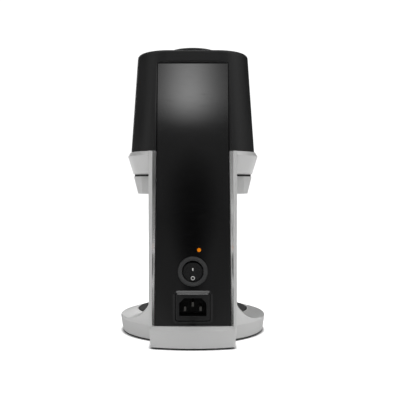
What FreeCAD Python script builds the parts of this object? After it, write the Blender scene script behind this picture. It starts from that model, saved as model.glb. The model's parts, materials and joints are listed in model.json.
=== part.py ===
import FreeCAD
import Part
import math
import os

# Automatic coffee tamper, in millimetres. +Z is up, the back faces +Y, and the origin is the middle of the
# bounding box's bottom. The ram, the foot and the front of the head share one vertical axis at (0, AXIS_Y).

os.makedirs("parts", exist_ok=True)

# --- overall sizes ---
REAR_Y = 86.25
FOOT_R = 74.0
AXIS_Y = FOOT_R - REAR_Y
GROUND_GAP = 1.5
TOP_Z = 286.0

# --- foot and column ---
FOOT_EDGE_Z = 17.0
FOOT_TOP_Z = 21.6
MAT_R = 56.0
MAT_FLOOR_Z = 19.0
MAT_TOP_Z = 22.0
MAT_GAP = 0.4
MAT_END_Y = 23.7
LEDGE_Z = 20.4
COLUMN_HALF = 39.5
COLUMN_FRONT_Y = 30.0
RAIL_Y = 81.5
COLUMN_WALL = 3.2
FILLET_R = 16.0
WEB_R = 28.0
WEB_Z0 = FOOT_EDGE_Z + 0.5
CORNER_R = 7.0
BLOCK_CORNER_R = 2.6
# Cross-sections of the block behind the foot: half width, y at its corners, y at its middle, z.
BLOCK_SECTIONS = (
    (COLUMN_HALF - 1.7, 79.9, REAR_Y - 1.0, GROUND_GAP),
    (COLUMN_HALF, 81.2, REAR_Y, FOOT_EDGE_Z),
    (COLUMN_HALF, 79.4, 81.9, LEDGE_Z),
)
CAVITY_FLOOR_Z = 24.0
WINDOW_HALF = 30.0
BASE_PLATE_THICK = 2.0
BASE_PLATE_R = 66.0
FEET = ((41.0, -46.0), (-41.0, -46.0), (24.0, 66.0), (-24.0, 66.0))
FOOT_STEM_R = 3.0
FOOT_STEM_TOP_Z = 6.0
BASE_SCREW_TIP_Z = 11.0
BASE_SCREWS = ((14.0, AXIS_Y), (-14.0, AXIS_Y), (20.0, 46.0), (-20.0, 46.0))

# --- rear panel ---
PANEL_Y = 78.8
PANEL_THICK = 3.0
PANEL_HALF_BOTTOM = 34.1
PANEL_HALF_TOP = 31.7
PANEL_TOP_Z = 256.0
PANEL_GAP = 0.25
RECESS_HALF = 36.4

# --- head ---
COLLAR_Z0 = 157.5
COLLAR_WIDEST_Z = 173.5
COLLAR_Z1 = 177.3
COLLAR_HALF = 60.4
HEAD_CORNER_R = 30.0
HOOD_HALF_BOTTOM = 57.5
HOOD_HALF_TOP = 51.3
HOOD_REAR_Y = 81.3
HOOD_TOP_Z = 268.0
HOOD_WALL = 2.5
HOOD_ROOF = 3.0
HOOD_TOP_FILLET = 3.5
DISPLAY_Z = 212.0
DISPLAY_Y = -64.6
GLASS_HALF_X = 17.5
GLASS_HALF_Z = 10.0
GLASS_THICK = 1.6
APERTURE_HALF_X = 15.5
APERTURE_HALF_Z = 8.0
POCKET_R = 38.5
POCKET_TOP_Z = 168.0
# Sections of the collar, bottom to top: half width, rear y, z.
COLLAR_SECTIONS = ((55.7, 78.9, COLLAR_Z0), (COLLAR_HALF, 83.0, COLLAR_WIDEST_Z), (58.4, 81.4, COLLAR_Z1))
RAM_HOLE_R = 31.0

# --- fork ---
ARM_Z0 = 139.3
ARM_Z1 = 155.7
ARM_HALF_TOP = 56.6
ARM_HALF_BOTTOM = 52.2
ARM_INNER_X = 35.0
ARM_REAR_Y = 45.0
ARM_CORNER_R = 28.0
ARM_SCREWS = ((43.0, -28.0), (45.0, 24.0))
PAD_INNER_X = 32.3
PAD_Y = (-41.0, 27.0)
PAD_FLANGE_X = ARM_INNER_X + 3.0
SHIM_INSET = 0.9
FORK_SCREW_TIP_Z = 167.0
FORK_HEAD_R = 4.3
FORK_HEAD_Z = (ARM_Z0 + 0.8, ARM_Z0 + 5.0)

# --- ram and drive ---
RAM_R = 15.0
RAM_BORE_R = 10.0
RAM_BUSH_R = 21.0
DISC_R = 29.2
DISC_Z = 169.5
RAM_TOP_Z = 224.0
LOWER_PLATE_Z = (COLLAR_Z1, COLLAR_Z1 + 5.0)
UPPER_PLATE_Z = (232.0, 239.0)
CROSSHEAD_Z = (213.5, 223.5)
THRUST_Z = (229.1, 230.3, 231.9, 233.0)
THRUST_R = 13.0
BEARING_R = 11.0
GUIDE_X = 34.0
GUIDE_R = 5.0
SCREW_R = 8.0
JOURNAL_R = 6.0
GEAR_MODULE = 1.5
GEAR_TEETH = 60
PINION_TEETH = 26
PRESSURE_ANGLE = math.radians(20.0)
GEAR_BACKLASH = 0.24
GEAR_Z = (240.4, 248.4)
MOTOR_Y = AXIS_Y + GEAR_MODULE * (GEAR_TEETH + PINION_TEETH) / 2.0
MOTOR_R = 17.5
MOTOR_Z = (150.0, 204.0)
SHAFT_R = 3.0
MOTOR_TAGS = (-10.0, 10.0)
MOTOR_TAG_LONG = 6.0
SPIGOT_R = 8.0
MOTOR_SCREWS = tuple(
    (13.0 * math.cos(a), MOTOR_Y + 13.0 * math.sin(a)) for a in [math.pi / 4 * k for k in (1, 3, 5, 7)]
)
MOTOR_SCREW_GRIP = 6.0
MOTOR_HEAD_R = 2.8
MOTOR_HEAD_HIGH = 2.6
PILLARS = ((33.0, 20.0), (-33.0, 20.0))
PILLAR_HEAD_R = 4.0
PILLAR_HEAD_HIGH = 3.0
PILLAR_SCREW_TIP_Z = UPPER_PLATE_Z[0] - 8.0
PLATE_SCREW_TIP_Z = LOWER_PLATE_Z[0] - 9.0
PLATE_SCREWS = ((44.0, -12.25), (-44.0, -12.25), (24.0, -48.0), (-24.0, -48.0))

# --- controls and inlet ---
BOARD_Z = 257.6
BOARD_THICK = 1.6
BOARD_SCREW_R = 22.0
HUB_R = 6.0
DIAL_R = 25.0
DIAL_Z0 = 270.8
DIAL_FLUTES = 60
SWITCH_Z = 69.3
SWITCH_R = 13.5
SWITCH_HOLE_R = 12.2
ROCKER_R = 8.8
ROCKER_GAP = 0.7
BEZEL_RISE = 1.9
ROCKER_PIVOT_Y = 74.5
ROCKER_TILT = 7.0
PIVOT_R = 1.2
PIVOT_HALF = 11.2
SWITCH_BACK_Y = 55.0
SWITCH_TAG_DZ = 5.0
TAG_END_Y = 50.0
INLET_Z = 37.5
INLET_BODY_HALF_X = 13.8
INLET_BODY_HALF_Z = 10.3
INLET_BACK_Y = 54.0
INLET_PINS = ((-7.0, -2.0), (7.0, -2.0), (0.0, 2.0))
LAMP_X = -5.6
LAMP_Z = 88.5
LAMP_R = 1.75
PLUNGER_R = 2.0
SENSOR_X = 24.0
SENSOR_Z = 162.0

# --- small hardware: shank radii by thread, and the key across the flats of each socket ---
RUN_CLEARANCE = 0.05
WIRE_D = 1.6
M3_R = 1.5
M35_R = 1.7
M4_R = 2.0
M5_R = 2.5
M6_R = 3.0
SMALL_KEY = 2.5
PILLAR_KEY = 3.0
LARGE_KEY = 4.0
OVERSIZE = 10.0


def vec(x, y, z):
    return FreeCAD.Vector(x, y, z)


def box(x0, x1, y0, y1, z0, z1):
    return Part.makeBox(x1 - x0, y1 - y0, z1 - z0, vec(x0, y0, z0))


def cylinder(r, z0, z1, x=0.0, y=AXIS_Y):
    return Part.makeCylinder(r, z1 - z0, vec(x, y, z0))


def cylinder_y(r, y0, y1, x, z):
    return Part.makeCylinder(r, y1 - y0, vec(x, y0, z), vec(0, 1, 0))


def cylinder_x(r, x0, x1, y, z):
    return Part.makeCylinder(r, x1 - x0, vec(x0, y, z), vec(1, 0, 0))


def tube(r_out, r_in, z0, z1, x=0.0, y=AXIS_Y):
    return cylinder(r_out, z0, z1, x, y).cut(cylinder(r_in, z0 - 1, z1 + 1, x, y))


def bore(r, x=0.0, y=AXIS_Y):
    """A cutting tool along Z through the whole machine."""
    return cylinder(r, -OVERSIZE, TOP_Z + OVERSIZE, x, y)


def bore_y(r, x, z):
    """A cutting tool along Y through the whole machine."""
    return cylinder_y(r, -REAR_Y - OVERSIZE, REAR_Y + OVERSIZE, x, z)


def flip(point):
    return FreeCAD.Vector(-point.x, point.y, point.z)


def prism(points, direction):
    """A closed polygon of 3-D points, pushed along a direction."""
    return Part.Face(Part.makePolygon(points + points[:1])).extrude(direction)


def prism_z(points, z0, z1):
    return prism([vec(x, y, z0) for x, y in points], vec(0, 0, z1 - z0))


def prism_y(points, y0, y1):
    return prism([vec(x, y0, z) for x, z in points], vec(0, y1 - y0, 0))


def prism_x(points, x0, x1):
    return prism([vec(x0, y, z) for y, z in points], vec(x1 - x0, 0, 0))


def revolve(points, x=0.0, y=AXIS_Y):
    """A closed outline of (radius, height) points, turned about a vertical axis."""
    outline = [vec(x + r, y, z) for r, z in points]
    face = Part.Face(Part.makePolygon(outline + outline[:1]))
    return face.revolve(vec(x, y, 0), vec(0, 0, 1), 360)


def revolve_y(points, x, z):
    """A closed outline of (radius, y) points, turned about an axis along Y."""
    outline = [vec(x + r, y, z) for r, y in points]
    face = Part.Face(Part.makePolygon(outline + outline[:1]))
    return face.revolve(vec(x, 0, z), vec(0, 1, 0), 360)


def fuse(*shapes):
    return shapes[0].multiFuse(list(shapes[1:])).removeSplitter()


def mirror_x(shape):
    return shape.mirror(vec(0, 0, 0), vec(1, 0, 0))


def both_sides(shape):
    return [shape, mirror_x(shape)]


def rounded(shape, radius, wanted):
    """The shape with its edges that pass the test rounded."""
    return shape.makeFillet(radius, [edge for edge in shape.Edges if wanted(edge)])


def is_upright(edge):
    box_ = edge.BoundBox
    return box_.XLength < 0.01 and box_.YLength < 0.01


def rounded_rect_y(half_x, half_z, radius, y0, y1, z):
    """A block along Y with four rounded corners."""
    block = box(-half_x, half_x, y0, y1, z - half_z, z + half_z)
    return rounded(block, radius, lambda e: e.BoundBox.YLength > y1 - y0 - 0.01)


def end_wire(block, y):
    """The outline of a block's face that lies at y."""
    faces = [face for face in block.Faces if face.BoundBox.YMin > y - 0.01]
    return faces[0].OuterWire


def sloped_plate(half_x, half_z, radius, y0, y1, z, drop, slope):
    """A block along Y with rounded corners, whose face falls away by drop over slope all round its edge."""
    base = rounded_rect_y(half_x, half_z, radius, y0, y1 - drop, z)
    top = rounded_rect_y(half_x - slope, half_z - slope, radius - slope, y0, y1, z)
    return fuse(base, loft(end_wire(base, y1 - drop), end_wire(top, y1)))


def hex_prism(across_flats, z0, z1, x=0.0, y=AXIS_Y):
    r = across_flats / 2.0 / math.cos(math.pi / 6)
    corners = [(x + r * math.cos(math.pi / 3 * k), y + r * math.sin(math.pi / 3 * k)) for k in range(6)]
    return prism_z(corners, z0, z1)


def socket_screw(shank_r, head_r, key, tip_z, seat_z, top_z, x=0.0, y=AXIS_Y):
    """A screw along Z: a shank from tip_z to seat_z, then a head with a hexagon socket to top_z."""
    socket_z = (seat_z + top_z) / 2.0
    beyond_z = 2.0 * top_z - seat_z
    head = cylinder(head_r, *sorted((seat_z, top_z)), x, y)
    head = head.cut(hex_prism(key, *sorted((socket_z, beyond_z)), x, y))
    return fuse(head, cylinder(shank_r, *sorted((tip_z, seat_z)), x, y))


def wire_tube(points, diameter):
    """A wire along straight runs that are joined by tangent arcs, each as large as its runs allow."""
    share = 0.45
    edges = []
    start = points[0]
    for before, corner, after in zip(points, points[1:], points[2:]):
        a = before - corner
        b = after - corner
        turn = math.pi - a.getAngle(b)
        shorter = min(a.Length, b.Length)
        radius = share * shorter / math.tan(turn / 2.0)
        a.normalize()
        b.normalize()
        enter = corner + a * (share * shorter)
        leave = corner + b * (share * shorter)
        bisector = a + b
        bisector.normalize()
        centre = corner + bisector * (radius / math.cos(turn / 2.0))
        middle = centre - bisector * radius
        edges.append(Part.LineSegment(start, enter).toShape())
        edges.append(Part.Arc(enter, middle, leave).toShape())
        start = leave
    edges.append(Part.LineSegment(start, points[-1]).toShape())
    path = Part.Wire(edges)
    circle = Part.makeCircle(diameter / 2.0, points[0], points[1] - points[0])
    return path.makePipeShell([Part.Wire([circle])], True, False)


def save(name, *shapes):
    """One STEP file for one node, holding one or more separate solids."""
    solids = [solid for shape in shapes for solid in shape.Solids]
    for solid in solids:
        if not solid.isValid() or solid.Volume <= 0:
            print("BAD SOLID", name)
    shape = solids[0] if len(solids) == 1 else Part.makeCompound(solids)
    shape.exportStep("parts/" + name + ".step")


# --- outlines of the head ---

def head_outline(half, rear_y, z, corner_r=HEAD_CORNER_R, front_r=None):
    """Half circle in front, straight sides, and rounded corners at the back."""
    front_r = front_r or half
    cx = half - corner_r
    cy = rear_y - corner_r
    s = math.sqrt(0.5) * corner_r
    rim = [
        Part.LineSegment(vec(half, AXIS_Y, z), vec(half, cy, z)),
        Part.Arc(vec(half, cy, z), vec(cx + s, cy + s, z), vec(cx, rear_y, z)),
        Part.LineSegment(vec(cx, rear_y, z), vec(-cx, rear_y, z)),
        Part.Arc(vec(-cx, rear_y, z), vec(-cx - s, cy + s, z), vec(-half, cy, z)),
        Part.LineSegment(vec(-half, cy, z), vec(-half, AXIS_Y, z)),
        Part.Arc(vec(-half, AXIS_Y, z), vec(0, AXIS_Y - front_r, z), vec(half, AXIS_Y, z)),
    ]
    return Part.Wire([edge.toShape() for edge in rim])


def loft(*wires):
    return Part.makeLoft(list(wires), True, True)


def head_plate(half, rear_y, z0, z1, corner_r=20.0):
    return Part.Face(head_outline(half, rear_y, z0, corner_r)).extrude(vec(0, 0, z1 - z0))


# --- rear panel and its recess, which the column and the hood share ---

def panel_corners(y, grow):
    return [
        vec(-PANEL_HALF_BOTTOM - grow, y, LEDGE_Z),
        vec(PANEL_HALF_BOTTOM + grow, y, LEDGE_Z),
        vec(PANEL_HALF_TOP + grow, y, PANEL_TOP_Z + grow),
        vec(-PANEL_HALF_TOP - grow, y, PANEL_TOP_Z + grow),
    ]


def closed(points):
    return Part.makePolygon(points + points[:1])


def panel_recess():
    """The seat behind the panel, with a bevel round it that opens towards the back."""
    beyond = 1.0
    mouth_y = RAIL_Y + beyond
    mouth_half = RECESS_HALF + 0.8
    mouth_top = PANEL_TOP_Z + 2.6 + beyond
    mouth = [
        vec(-mouth_half, mouth_y, LEDGE_Z),
        vec(mouth_half, mouth_y, LEDGE_Z),
        vec(mouth_half, mouth_y, mouth_top),
        vec(-mouth_half, mouth_y, mouth_top),
    ]
    bevel = loft(closed(panel_corners(PANEL_Y - 0.4, PANEL_GAP)), closed(mouth))
    seat = prism(panel_corners(PANEL_Y - PANEL_THICK, PANEL_GAP), vec(0, PANEL_THICK, 0))
    return fuse(bevel, seat)


def rear_panel():
    panel = prism(panel_corners(PANEL_Y - PANEL_THICK, 0.0), vec(0, PANEL_THICK, 0))
    panel = rounded(panel, 0.5, lambda e: e.BoundBox.YMin > PANEL_Y - 0.01)
    inlet_half_x = INLET_BODY_HALF_X + 0.2
    inlet_half_z = INLET_BODY_HALF_Z + 0.2
    inlet_hole = box(-inlet_half_x, inlet_half_x, 0, REAR_Y, INLET_Z - inlet_half_z, INLET_Z + inlet_half_z)
    for hole in (bore_y(SWITCH_HOLE_R, 0.0, SWITCH_Z), bore_y(LAMP_R, LAMP_X, LAMP_Z), inlet_hole):
        panel = panel.cut(hole)
    save("rear_panel", panel)


# --- foot and column ---

def foot_disc():
    lip_r = MAT_R + MAT_GAP
    return revolve([
        (0.0, GROUND_GAP), (FOOT_R - 2.6, GROUND_GAP), (FOOT_R - 2.0, GROUND_GAP + 0.8),
        (FOOT_R, FOOT_EDGE_Z - 1.8), (FOOT_R - 0.3, FOOT_EDGE_Z - 0.7), (FOOT_R - 1.2, FOOT_EDGE_Z),
        (lip_r + 0.8, FOOT_TOP_Z), (lip_r, FOOT_TOP_Z), (lip_r, MAT_FLOOR_Z), (0.0, MAT_FLOOR_Z),
    ])


def block_outline(half, end_y, middle_y, z):
    """Cross-section of the rear block: straight sides, rounded corners, and a back that bows outwards."""
    front_y = 40.0
    r = BLOCK_CORNER_R
    bow = 0.12 * r
    side_end = vec(half, end_y - r, z)
    corner = vec(half - 0.29 * r, end_y - 0.29 * r + 0.6 * bow, z)
    back_start = vec(half - r, end_y + bow, z)
    rim = [
        Part.LineSegment(vec(half, front_y, z), side_end),
        Part.Arc(side_end, corner, back_start),
        Part.Arc(back_start, vec(0, middle_y, z), flip(back_start)),
        Part.Arc(flip(back_start), flip(corner), flip(side_end)),
        Part.LineSegment(flip(side_end), vec(-half, front_y, z)),
        Part.LineSegment(vec(-half, front_y, z), vec(half, front_y, z)),
    ]
    return Part.Wire([edge.toShape() for edge in rim])


def rear_block():
    return loft(*[block_outline(*section) for section in BLOCK_SECTIONS])


def fillet_profile(x, z0, radius):
    """Concave corner between a wall at x and a floor at z0, as a closed wire in the XZ plane."""
    s = radius * (1.0 - math.sqrt(0.5))
    arc = Part.Arc(vec(x, 0, z0 + radius), vec(x + s, 0, z0 + s), vec(x + radius, 0, z0))
    corner = vec(x - 3.0, 0, z0 - 3.0)
    wall_top = vec(x - 3.0, 0, z0 + radius)
    floor_end = vec(x + radius, 0, z0 - 3.0)
    rim = [
        arc,
        Part.LineSegment(vec(x + radius, 0, z0), floor_end),
        Part.LineSegment(floor_end, corner),
        Part.LineSegment(corner, wall_top),
        Part.LineSegment(wall_top, vec(x, 0, z0 + radius)),
    ]
    return Part.Wire([edge.toShape() for edge in rim])


def column_fillets():
    """The foot sweeping up into the column along both sides, both front corners and the front."""
    corner_y = COLUMN_FRONT_Y + CORNER_R
    corner_x = COLUMN_HALF - CORNER_R
    side = Part.Face(fillet_profile(COLUMN_HALF, FOOT_EDGE_Z, FILLET_R))
    side.translate(vec(0, corner_y, 0))
    along_side = side.extrude(vec(0, FOOT_R, 0))
    pivot = vec(corner_x, corner_y, 0)
    corner = side.revolve(pivot, vec(0, 0, 1), -90)
    front = side.copy()
    front.rotate(pivot, vec(0, 0, 1), -90)
    along_front = front.extrude(vec(-2.0 * corner_x, 0, 0))
    pieces = both_sides(along_side) + both_sides(corner) + [along_front]
    above_z = FOOT_EDGE_Z + 2.0 * FILLET_R
    limit = cylinder(FOOT_R - 0.15, 0, above_z)
    before_column = box(-FOOT_R, FOOT_R, -REAR_Y, MAT_END_Y + 0.3, 0, above_z)
    mat_space = cylinder(MAT_R + MAT_GAP, MAT_FLOOR_Z, above_z).common(before_column)
    return [piece.common(limit).cut(mat_space) for piece in pieces]


def rim_webs():
    """The foot's rim sweeping up to the column on both sides, hollowed towards the mat by a cone."""
    above_z = WEB_Z0 + 2.0 * WEB_R
    web = Part.Face(fillet_profile(COLUMN_HALF, WEB_Z0, WEB_R))
    web.translate(vec(0, COLUMN_FRONT_Y - 20.0, 0))
    web = web.extrude(vec(0, FOOT_R, 0)).common(cylinder(FOOT_R - 0.15, 0, above_z))
    low_r = FOOT_R - 13.0
    high_r = FOOT_R - 0.9
    low_z = FOOT_TOP_Z - 5.0
    high_z = WEB_Z0 + 0.7 * WEB_R
    dish = Part.makeCone(low_r, high_r, high_z - low_z, vec(0, AXIS_Y, low_z))
    return both_sides(web.cut(dish).cut(cylinder(high_r, high_z, above_z)))


def column_solid(y1, z0, z1):
    """The upright column with its two rounded front corners."""
    column = box(-COLUMN_HALF, COLUMN_HALF, COLUMN_FRONT_Y, y1, z0, z1)
    return rounded(column, CORNER_R, lambda e: is_upright(e) and e.BoundBox.YMax < COLUMN_FRONT_Y + 1)


def body_casting():
    column = column_solid(RAIL_Y, FOOT_EDGE_Z, COLLAR_Z1)
    column = rounded(column, 0.8, lambda e: is_upright(e) and e.BoundBox.YMin > RAIL_Y - 1)
    column = column.cut(box(-FOOT_R, FOOT_R, PANEL_Y - 0.8, REAR_Y + OVERSIZE, 0, LEDGE_Z))
    body = fuse(foot_disc(), rear_block(), column, *column_fillets(), *rim_webs())
    seat_y = PANEL_Y - PANEL_THICK
    above_z = COLLAR_Z1 + OVERSIZE
    inner = COLUMN_HALF - COLUMN_WALL
    inner_front = COLUMN_FRONT_Y + COLUMN_WALL
    cavity = box(-inner, inner, inner_front, seat_y - 4.5, CAVITY_FLOOR_Z, above_z)
    window = box(-WINDOW_HALF, WINDOW_HALF, seat_y - 6.0, seat_y + 1.0, CAVITY_FLOOR_Z, above_z)
    plate_top = GROUND_GAP + BASE_PLATE_THICK
    foot_hollow = tube(BASE_PLATE_R, 22.0, plate_top + 1.0, MAT_FLOOR_Z - 5.5)
    foot_hollow = foot_hollow.common(box(-FOOT_R, FOOT_R, -REAR_Y - OVERSIZE, 24.0, 0, FOOT_TOP_Z))
    plate_seat = base_plate_outline(0.25, GROUND_GAP - 1, plate_top)
    tools = [panel_recess(), cavity, window, foot_hollow, plate_seat]
    tools += [cylinder(M35_R, GROUND_GAP, BASE_SCREW_TIP_Z + 1.0, x, y) for x, y in BASE_SCREWS]
    tools += [cylinder(FOOT_STEM_R, GROUND_GAP, FOOT_STEM_TOP_Z + 1.0, x, y) for x, y in FEET]
    tools += [
        cylinder_y(PLUNGER_R + RUN_CLEARANCE, COLUMN_FRONT_Y - OVERSIZE, inner_front + 1, x, SENSOR_Z)
        for x in (-SENSOR_X, SENSOR_X)
    ]
    for tool in tools:
        body = body.cut(tool)
    save("body_casting", body)


# --- underside ---

def base_plate_outline(grow, z0, z1):
    disc = cylinder(BASE_PLATE_R + grow, z0, z1)
    tail = box(-33.0 - grow, 33.0 + grow, 20.0, 76.0 + grow, z0, z1)
    return fuse(disc, tail)


def underside():
    top = GROUND_GAP + BASE_PLATE_THICK
    plate = base_plate_outline(0.0, GROUND_GAP, top)
    for x, y in FEET:
        plate = plate.cut(bore(FOOT_STEM_R, x, y))
    head_r = 2.0 * M35_R
    neck_z = GROUND_GAP + head_r - M35_R
    screws = []
    for x, y in BASE_SCREWS:
        head = Part.makeCone(head_r, M35_R, head_r - M35_R, vec(x, y, GROUND_GAP))
        plate = plate.cut(head).cut(bore(M35_R, x, y))
        socket = hex_prism(2.0, GROUND_GAP - 1, GROUND_GAP + 1.2, x, y)
        screws.append(fuse(head, cylinder(M35_R, neck_z, BASE_SCREW_TIP_Z, x, y)).cut(socket))
    save("base_plate", plate)
    save("base_screws", *screws)
    feet = []
    for x, y in FEET:
        pad = Part.makeCone(7.4, 8.2, GROUND_GAP, vec(x, y, 0))
        feet.append(fuse(pad, cylinder(FOOT_STEM_R, GROUND_GAP, FOOT_STEM_TOP_Z, x, y)))
    save("rubber_feet", *feet)


def base_mat():
    mat = revolve([
        (0.0, MAT_FLOOR_Z), (MAT_R, MAT_FLOOR_Z), (MAT_R, MAT_TOP_Z - 0.6), (MAT_R - 0.8, MAT_TOP_Z),
        (0.0, MAT_TOP_Z),
    ])
    save("base_mat", mat.common(box(-FOOT_R, FOOT_R, -REAR_Y, MAT_END_Y, 0, MAT_TOP_Z)))


# --- head ---

def head_collar():
    bottom, widest, top = [head_outline(*section) for section in COLLAR_SECTIONS]
    collar = fuse(loft(bottom, widest), loft(widest, top))
    column = column_solid(REAR_Y + OVERSIZE, COLLAR_Z0 - 1, COLLAR_Z1 + 1)
    pocket = fuse(
        cylinder(POCKET_R, COLLAR_Z0 - 1, POCKET_TOP_Z),
        box(-POCKET_R, POCKET_R, -REAR_Y, AXIS_Y, COLLAR_Z0 - 1, POCKET_TOP_Z),
    )
    tools = [column, pocket, bore(RAM_HOLE_R)]
    for side in (-1, 1):
        hole_r = PLUNGER_R + RUN_CLEARANCE
        tools.append(cylinder_y(hole_r, AXIS_Y, COLUMN_FRONT_Y + 5, side * SENSOR_X, SENSOR_Z))
        tools += [cylinder(M5_R, 0, FORK_SCREW_TIP_Z + 1.0, side * x, y) for x, y in ARM_SCREWS]
    tools += [cylinder(M35_R, PLATE_SCREW_TIP_Z - 0.3, TOP_Z, x, y) for x, y in PLATE_SCREWS]
    for tool in tools:
        collar = collar.cut(tool)
    save("head_collar", collar)


def display_block(half_x, half_z, y0, y1):
    """A block along Y, centred on the display."""
    return box(-half_x, half_x, y0, y1, DISPLAY_Z - half_z, DISPLAY_Z + half_z)


def hood():
    outer = loft(
        head_outline(HOOD_HALF_BOTTOM, HOOD_REAR_Y, COLLAR_Z1),
        head_outline(HOOD_HALF_TOP, HOOD_REAR_Y - 0.8, HOOD_TOP_Z),
    )
    outer = rounded(outer, HOOD_TOP_FILLET, lambda e: e.BoundBox.ZMin > HOOD_TOP_Z - 0.01)
    wall = HOOD_WALL
    inner_top = HOOD_TOP_Z - HOOD_ROOF
    inner = loft(
        head_outline(HOOD_HALF_BOTTOM - wall, HOOD_REAR_Y - wall, COLLAR_Z1 - 1, HEAD_CORNER_R - wall),
        head_outline(HOOD_HALF_TOP - wall + 0.2, HOOD_REAR_Y - 0.8 - wall, inner_top, HEAD_CORNER_R - wall),
    )
    inner = rounded(inner, HOOD_TOP_FILLET - wall, lambda e: e.BoundBox.ZMin > inner_top - 0.01)
    shell = outer.cut(inner)
    seat_y = PANEL_Y - PANEL_THICK
    frame = box(-COLUMN_HALF, COLUMN_HALF, seat_y - 3.0, RAIL_Y, COLLAR_Z1, PANEL_TOP_Z + 6.0)
    frame = frame.common(outer)
    window = box(-29.0, 29.0, 60, seat_y + 1.0, COLLAR_Z1 - 1, PANEL_TOP_Z - 5.0)
    boss = display_block(GLASS_HALF_X + 3.5, GLASS_HALF_Z + 3.0, -75.0, DISPLAY_Y + 4.6).common(outer)
    glass_seat = display_block(GLASS_HALF_X + 0.2, GLASS_HALF_Z + 0.2, -REAR_Y, DISPLAY_Y + GLASS_THICK)
    glass_seat = rounded(glass_seat, 3.0, lambda e: e.BoundBox.YLength > 10)
    aperture = display_block(APERTURE_HALF_X, APERTURE_HALF_Z, -REAR_Y, DISPLAY_Y + 14.6)
    angles = [math.radians(degrees) for degrees in (30, 150, 270)]
    spots = [(BOARD_SCREW_R * math.cos(a), AXIS_Y + BOARD_SCREW_R * math.sin(a)) for a in angles]
    posts = [tube(3.2, 1.2, BOARD_Z + BOARD_THICK, inner_top + 0.5, x, y) for x, y in spots]
    shell = fuse(shell, frame, boss, *posts)
    spindle_hole = cylinder(HUB_R + 1.0, BOARD_Z, TOP_Z)
    for tool in (window, glass_seat, aperture, panel_recess(), spindle_hole):
        shell = shell.cut(tool)
    save("hood", shell)


def display():
    glass = display_block(GLASS_HALF_X, GLASS_HALF_Z, DISPLAY_Y, DISPLAY_Y + GLASS_THICK)
    glass = rounded(glass, 2.8, lambda e: e.BoundBox.YLength > 1.5 and e.BoundBox.XLength < 0.01)
    save("display_window", glass)
    module_y = DISPLAY_Y + GLASS_THICK + 0.2
    module = display_block(APERTURE_HALF_X - 0.5, APERTURE_HALF_Z - 0.5, module_y, module_y + 2.4)
    save("display_module", module)


def interface():
    board_top = BOARD_Z + BOARD_THICK
    save("interface_board", cylinder(27.0, BOARD_Z, board_top))
    sleeve_r = 4.6
    case_half = 6.5
    case_top = HOOD_TOP_Z - HOOD_ROOF - 0.2
    case = box(-case_half, case_half, AXIS_Y - case_half, AXIS_Y + case_half, board_top, case_top)
    case = case.cut(cylinder(sleeve_r + RUN_CLEARANCE, board_top + 1.0, HOOD_TOP_Z))
    save("encoder_body", case)
    save("encoder_plunger", tube(sleeve_r, SHAFT_R + RUN_CLEARANCE, board_top + 2.6, HOOD_TOP_Z - 1.0))


def dial():
    ring_r = DIAL_R + 3.0
    ring_top = HOOD_TOP_Z + 1.1
    ring = revolve([
        (HUB_R + 1.0, HOOD_TOP_Z), (ring_r, HOOD_TOP_Z), (ring_r - 0.8, ring_top), (HUB_R + 1.0, ring_top),
    ])
    save("dial_trim_ring", ring)
    web_z = DIAL_Z0 + 10.0
    cap_seat = TOP_Z - 1.4
    rim_z = TOP_Z - 0.4
    body = revolve([
        (0.0, web_z), (21.0, web_z), (22.0, web_z - 1.0), (22.0, DIAL_Z0), (DIAL_R - 0.6, DIAL_Z0),
        (DIAL_R, DIAL_Z0 + 0.6), (DIAL_R, rim_z - 1.4), (DIAL_R - 1.4, rim_z), (19.6, rim_z),
        (19.2, cap_seat), (0.0, cap_seat),
    ])
    flute_r = DIAL_R + 0.35
    for k in range(DIAL_FLUTES):
        a = 2.0 * math.pi * k / DIAL_FLUTES
        x = flute_r * math.cos(a)
        y = AXIS_Y + flute_r * math.sin(a)
        body = body.cut(cylinder(0.8, DIAL_Z0 + 2.0, TOP_Z - 3.0, x, y))
    hub = tube(HUB_R, SHAFT_R, DIAL_Z0 + 0.4, web_z)
    save("dial_knob", fuse(body, hub))
    cap = revolve([(0.0, cap_seat), (19.0, cap_seat), (19.0, TOP_Z - 0.3), (18.4, TOP_Z), (0.0, TOP_Z)])
    save("dial_cap", cap)
    save("dial_shaft", cylinder(SHAFT_R, BOARD_Z + 4.8, web_z))


# --- fork ---

def arm_column_space(gap):
    return box(0, COLUMN_HALF + gap, COLUMN_FRONT_Y - 1.0, REAR_Y, 0, TOP_Z)


def arm_corner(inset):
    """What the chamfer takes off the outer back corner of an arm."""
    rear = ARM_REAR_Y - inset
    start_x = 48.5
    size = 9.5
    beyond = rear + 1.0
    end_x = start_x + size
    corners = [(start_x, beyond), (start_x, rear), (end_x, rear - size), (end_x + size, beyond)]
    return prism_z(corners, 0, TOP_Z)


def lead_in(inner_x, start_y, depth, length):
    """What is taken off the front inner corner of the fork, so that a portafilter finds its way in."""
    return prism_z([(inner_x, start_y), (inner_x + depth, start_y), (inner_x, start_y + length)], 0, TOP_Z)


def fork_arm():
    arm = loft(
        head_outline(ARM_HALF_BOTTOM, 76.0, ARM_Z0, ARM_CORNER_R),
        head_outline(ARM_HALF_TOP, 79.0, ARM_Z1, ARM_CORNER_R),
    )
    arm = arm.common(box(ARM_INNER_X, FOOT_R, -REAR_Y, ARM_REAR_Y, 0, TOP_Z))
    mouth = lead_in(ARM_INNER_X - 1.0, -60.0, 7.5, 18.0)
    tools = [arm_column_space(0.3), arm_corner(0.0), mouth]
    tools += [bore(M5_R + 0.25, x, y) for x, y in ARM_SCREWS]
    tools += [cylinder(FORK_HEAD_R + 0.3, 0, FORK_HEAD_Z[1], x, y) for x, y in ARM_SCREWS]
    for tool in tools:
        arm = arm.cut(tool)
    return arm


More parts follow.
